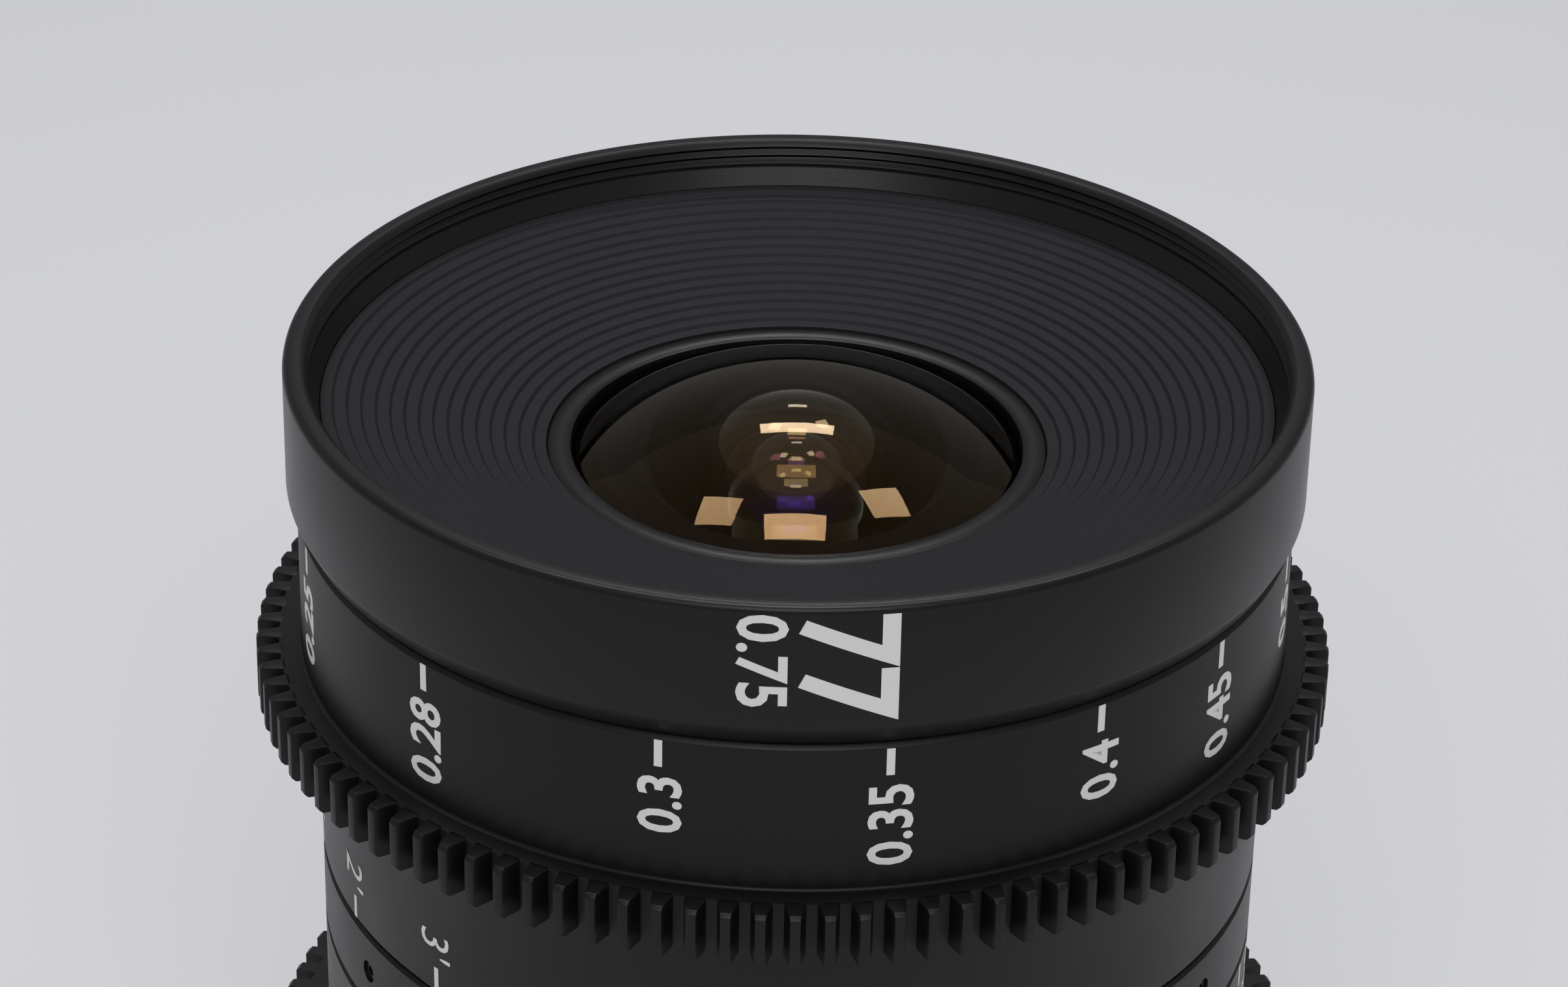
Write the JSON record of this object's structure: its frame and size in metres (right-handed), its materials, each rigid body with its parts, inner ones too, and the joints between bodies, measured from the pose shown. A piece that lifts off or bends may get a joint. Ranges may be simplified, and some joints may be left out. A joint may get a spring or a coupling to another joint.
{
  "type": "cinema prime lens",
  "caption": "Wide-angle cinema prime lens: geared focus and iris rings turn on a fixed barrel with a stepped front baffle, a filter thread and a camera bayonet.",
  "frame": {"origin": "centre of the camera flange face, on the optical axis", "axes": "+Z runs along the optical axis to the front of the lens; -Y is the side of the front witness mark for the feet scale and the aperture scale, +Y the side of the mount's red dot and the metre scale's witness mark"},
  "size_m": [0.0856, 0.0856, 0.088],
  "materials": {
    "black_anodised": "fine bead-blasted and black anodised",
    "matte_black": "matte black anodised",
    "hard_anodised": "hard anodised, turned",
    "brass": "turned brass",
    "steel": "bright steel",
    "black_steel": "black oxide",
    "bright_chrome": "satin chrome plate",
    "slip_plastic": "slippery white plastic film",
    "white_enamel": "white enamel, filled and wiped flush",
    "red_enamel": "glossy red bead",
    "coated_glass": "polished with an anti-reflection coating"
  },
  "bodies": {
    "barrel": {"front_ring": "black_anodised", "front_baffle": "matte_black", "front_retainer": "matte_black", "front_cell": "matte_black", "front_cell_screws": "black_steel", "lens_1": "coated_glass", "lens_2": "coated_glass", "inner_retainer": "matte_black", "lens_3": "coated_glass", "front_cell_rear_ring": "matte_black", "main_tube": "hard_anodised", "front_thrust_washer": "slip_plastic", "rear_thrust_washer": "slip_plastic", "focus_stop": "brass", "focus_stop_screws": "black_steel", "index_ring": "black_anodised", "index_marks": "white_enamel", "index_ring_screws": "black_steel", "iris_washers": "slip_plastic", "iris_housing": "matte_black", "iris_housing_screws": "black_steel", "iris_cover_ring": "matte_black", "iris_cover_screws": "black_steel", "rear_cell": "matte_black", "rear_cell_screws": "black_steel", "lens_7": "coated_glass", "lens_8": "coated_glass", "rear_spacer_front": "matte_black", "lens_9": "coated_glass", "rear_spacer_back": "matte_black", "lens_10": "coated_glass", "rear_retainer": "matte_black", "rear_shield": "matte_black", "rear_barrel": "black_anodised", "rear_barrel_screws": "black_steel", "mount_shim": "brass", "mount_plate": "bright_chrome", "mount_screws": "steel", "mount_index_dot": "red_enamel"},
    "focus_ring": {"focus_ring": "black_anodised", "cam_sleeve": "hard_anodised", "focus_drive_keys": "brass"},
    "focus_group": {"focus_carrier": "hard_anodised", "lens_4": "coated_glass", "lens_5": "coated_glass", "focus_spacer": "matte_black", "lens_6": "coated_glass", "focus_retainer": "matte_black", "cam_follower": "steel", "cam_follower_roller": "brass", "guide_keys": "brass", "guide_key_screws": "black_steel"},
    "iris_ring": {"iris_ring": "black_anodised", "iris_drive_screw": "black_steel", "iris_actuator": "matte_black"},
    "blade_1": {"iris_blade_1": "black_steel"},
    "blade_2": {"iris_blade_2": "black_steel"},
    "blade_3": {"iris_blade_3": "black_steel"},
    "blade_4": {"iris_blade_4": "black_steel"},
    "blade_5": {"iris_blade_5": "black_steel"}
  },
  "joints": [
    {"name": "focus_ring_turn", "type": "hinge", "parent": "barrel", "child": "focus_ring", "pos_m": [0, 0, 0], "axis": [0, 0, 1], "range_deg": [0, 300]},
    {"name": "focus_group_slide", "type": "slide", "parent": "barrel", "child": "focus_group", "axis": [0, 0, 1], "range_m": [0, 0.003]},
    {"name": "iris_ring_turn", "type": "hinge", "parent": "barrel", "child": "iris_ring", "pos_m": [0, 0, 0], "axis": [0, 0, -1], "range_deg": [0, 80]},
    {"name": "blade_1_pivot", "type": "hinge", "parent": "barrel", "child": "blade_1", "pos_m": [0.01231, 0.00217, 0.0208], "axis": [0, 0, -1], "range_deg": [0, 26.71]},
    {"name": "blade_2_pivot", "type": "hinge", "parent": "barrel", "child": "blade_2", "pos_m": [0.00174, 0.01238, 0.0208], "axis": [0, 0, -1], "range_deg": [0, 26.71]},
    {"name": "blade_3_pivot", "type": "hinge", "parent": "barrel", "child": "blade_3", "pos_m": [-0.01123, 0.00548, 0.0208], "axis": [0, 0, -1], "range_deg": [0, 26.71]},
    {"name": "blade_4_pivot", "type": "hinge", "parent": "barrel", "child": "blade_4", "pos_m": [-0.00868, -0.00899, 0.0208], "axis": [0, 0, -1], "range_deg": [0, 26.71]},
    {"name": "blade_5_pivot", "type": "hinge", "parent": "barrel", "child": "blade_5", "pos_m": [0.00587, -0.01104, 0.0208], "axis": [0, 0, -1], "range_deg": [0, 26.71]}
  ],
  "couplings": [
    {"joint": "focus_group_slide", "follows": "focus_ring_turn", "m_per_rad": 0.00057296},
    {"joint": "blade_1_pivot", "follows": "iris_ring_turn", "ratio": 0.3339},
    {"joint": "blade_2_pivot", "follows": "iris_ring_turn", "ratio": 0.3339},
    {"joint": "blade_3_pivot", "follows": "iris_ring_turn", "ratio": 0.3339},
    {"joint": "blade_4_pivot", "follows": "iris_ring_turn", "ratio": 0.3339},
    {"joint": "blade_5_pivot", "follows": "iris_ring_turn", "ratio": 0.3339}
  ]
}
